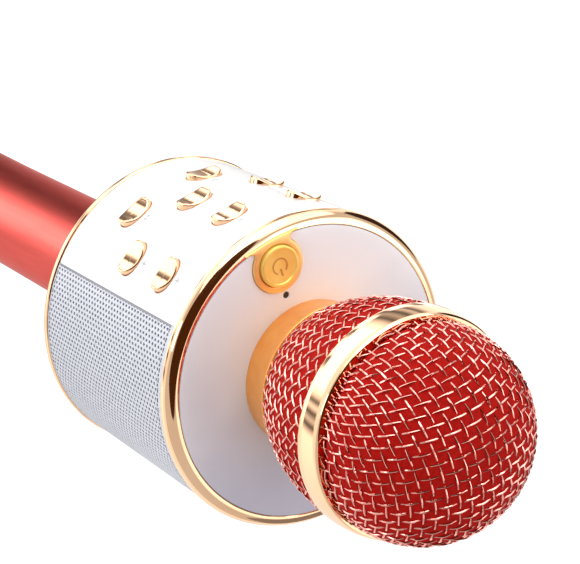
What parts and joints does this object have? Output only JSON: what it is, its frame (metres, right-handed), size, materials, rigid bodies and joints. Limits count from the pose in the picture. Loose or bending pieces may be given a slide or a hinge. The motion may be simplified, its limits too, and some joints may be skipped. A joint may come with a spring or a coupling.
{
  "type": "karaoke microphone",
  "caption": "Handheld microphone with a red grip, a round white speaker drum with oval gold buttons and a perforated grille, and a red woven grille head.",
  "frame": {"origin": "centre of the end cap's flat foot", "axes": "+Z along the grip to the grille head; the button panel faces -Y"},
  "size_m": [0.08, 0.0804, 0.255],
  "materials": {
    "anodised_grip": "satin red anodised",
    "gold_chrome": "polished rose gold plating",
    "gold_satin": "satin rose gold",
    "cap_red": "satin dark red",
    "rubber": "matte black",
    "cell_wrap": "shrink-wrapped",
    "inner_plastic": "moulded, matte",
    "white_gloss": "glossy white",
    "white_satin": "satin white",
    "frame_plastic": "moulded, matte",
    "baffle_board": "moulded, matte",
    "steel": "plated",
    "ferrite": "sintered, matte",
    "paper_cone": "coated paper",
    "circuit_board": "solder mask",
    "grille_metal": "perforated, silver-white",
    "acoustic_cloth": "woven, dark",
    "light_pipe": "dark translucent",
    "red_mesh": "woven wire, red lacquer",
    "foam": "open-cell foam"
  },
  "bodies": {
    "drum_and_grip": {"handle_tube": "anodised_grip", "end_ring": "gold_chrome", "neck_ring": "gold_chrome", "rear_ring": "gold_chrome", "front_bezel": "gold_chrome", "collar": "gold_satin", "top_contact": "gold_satin", "capsule_ring": "rubber", "speaker_surround": "rubber", "battery": "cell_wrap", "battery_sleeve": "inner_plastic", "capsule_cradle": "inner_plastic", "power_switch": "inner_plastic", "board_parts": "inner_plastic", "audio_socket": "inner_plastic", "key_switches": "inner_plastic", "control_panel": "white_gloss", "top_plate": "white_satin", "rear_plate": "white_satin", "drum_frame": "frame_plastic", "speaker_baffle": "baffle_board", "ring_nut": "steel", "speaker_basket": "steel", "frame_screws": "steel", "speaker_screws": "steel", "charge_socket": "steel", "collar_nut": "steel", "mic_capsule": "steel", "speaker_magnet": "ferrite", "main_board": "circuit_board", "button_board": "circuit_board", "speaker_grille": "grille_metal", "grille_cloth": "acoustic_cloth", "status_light": "light_pipe"},
    "speaker_cone": {"speaker_cone": "paper_cone"},
    "power_button": {"power_button": "gold_satin"},
    "cap_seal": {"cap_seal": "rubber"},
    "end_cap": {"end_cap": "cap_red", "battery_spring": "steel"},
    "head_seal": {"head_seal": "rubber"},
    "grille_head": {"thread_ring": "gold_satin", "rear_mesh": "red_mesh", "head_band": "gold_chrome", "front_mesh": "red_mesh", "foam_liner": "foam"},
    "button_music_down": {"button_music_down": "gold_chrome"},
    "button_play": {"button_play": "gold_chrome"},
    "button_music_up": {"button_music_up": "gold_chrome"},
    "button_echo_down": {"button_echo_down": "gold_chrome"},
    "button_mode": {"button_mode": "gold_chrome"},
    "button_echo_up": {"button_echo_up": "gold_chrome"},
    "button_previous": {"button_previous": "gold_chrome"},
    "button_next": {"button_next": "gold_chrome"}
  },
  "joints": [
    {"name": "press_music_down", "type": "slide", "parent": "drum_and_grip", "child": "button_music_down", "axis": [0.5255, 0.8508, 0], "range_m": [0, 0.0006], "stiffness_N_per_m": 1500},
    {"name": "press_play", "type": "slide", "parent": "drum_and_grip", "child": "button_play", "axis": [0, 1, 0], "range_m": [0, 0.0006], "stiffness_N_per_m": 1500},
    {"name": "press_music_up", "type": "slide", "parent": "drum_and_grip", "child": "button_music_up", "axis": [-0.5255, 0.8508, 0], "range_m": [0, 0.0006], "stiffness_N_per_m": 1500},
    {"name": "press_echo_down", "type": "slide", "parent": "drum_and_grip", "child": "button_echo_down", "axis": [0.5255, 0.8508, 0], "range_m": [0, 0.0006], "stiffness_N_per_m": 1500},
    {"name": "press_mode", "type": "slide", "parent": "drum_and_grip", "child": "button_mode", "axis": [0, 1, 0], "range_m": [0, 0.0006], "stiffness_N_per_m": 1500},
    {"name": "press_echo_up", "type": "slide", "parent": "drum_and_grip", "child": "button_echo_up", "axis": [-0.5255, 0.8508, 0], "range_m": [0, 0.0006], "stiffness_N_per_m": 1500},
    {"name": "press_previous", "type": "slide", "parent": "drum_and_grip", "child": "button_previous", "axis": [0.2731, 0.962, 0], "range_m": [0, 0.0006], "stiffness_N_per_m": 1500},
    {"name": "press_next", "type": "slide", "parent": "drum_and_grip", "child": "button_next", "axis": [-0.2731, 0.962, 0], "range_m": [0, 0.0006], "stiffness_N_per_m": 1500},
    {"name": "press_power", "type": "slide", "parent": "drum_and_grip", "child": "power_button", "axis": [0, 0, -1], "range_m": [0, 0.0005], "stiffness_N_per_m": 1500},
    {"name": "cone_travel", "type": "slide", "parent": "drum_and_grip", "child": "speaker_cone", "axis": [0, 1, 0], "range_m": [-0.0008, 0.0008], "stiffness_N_per_m": 1500},
    {"name": "cap_turn", "type": "hinge", "parent": "drum_and_grip", "child": "cap_seal", "pos_m": [0, 0, 0.0057], "axis": [0, 0, -1], "range_deg": [0, 720]},
    {"name": "cap_drop", "type": "slide", "parent": "cap_seal", "child": "end_cap", "axis": [0, 0, -1], "range_m": [0, 0.002]},
    {"name": "head_turn", "type": "hinge", "parent": "drum_and_grip", "child": "head_seal", "pos_m": [0, 0, 0.1877], "axis": [0, 0, 1], "range_deg": [0, 720]},
    {"name": "head_rise", "type": "slide", "parent": "head_seal", "child": "grille_head", "axis": [0, 0, 1], "range_m": [0, 0.002]}
  ],
  "couplings": [
    {"joint": "cap_drop", "follows": "cap_turn", "m_per_rad": 0.00015915},
    {"joint": "head_rise", "follows": "head_turn", "m_per_rad": 0.00015915}
  ]
}
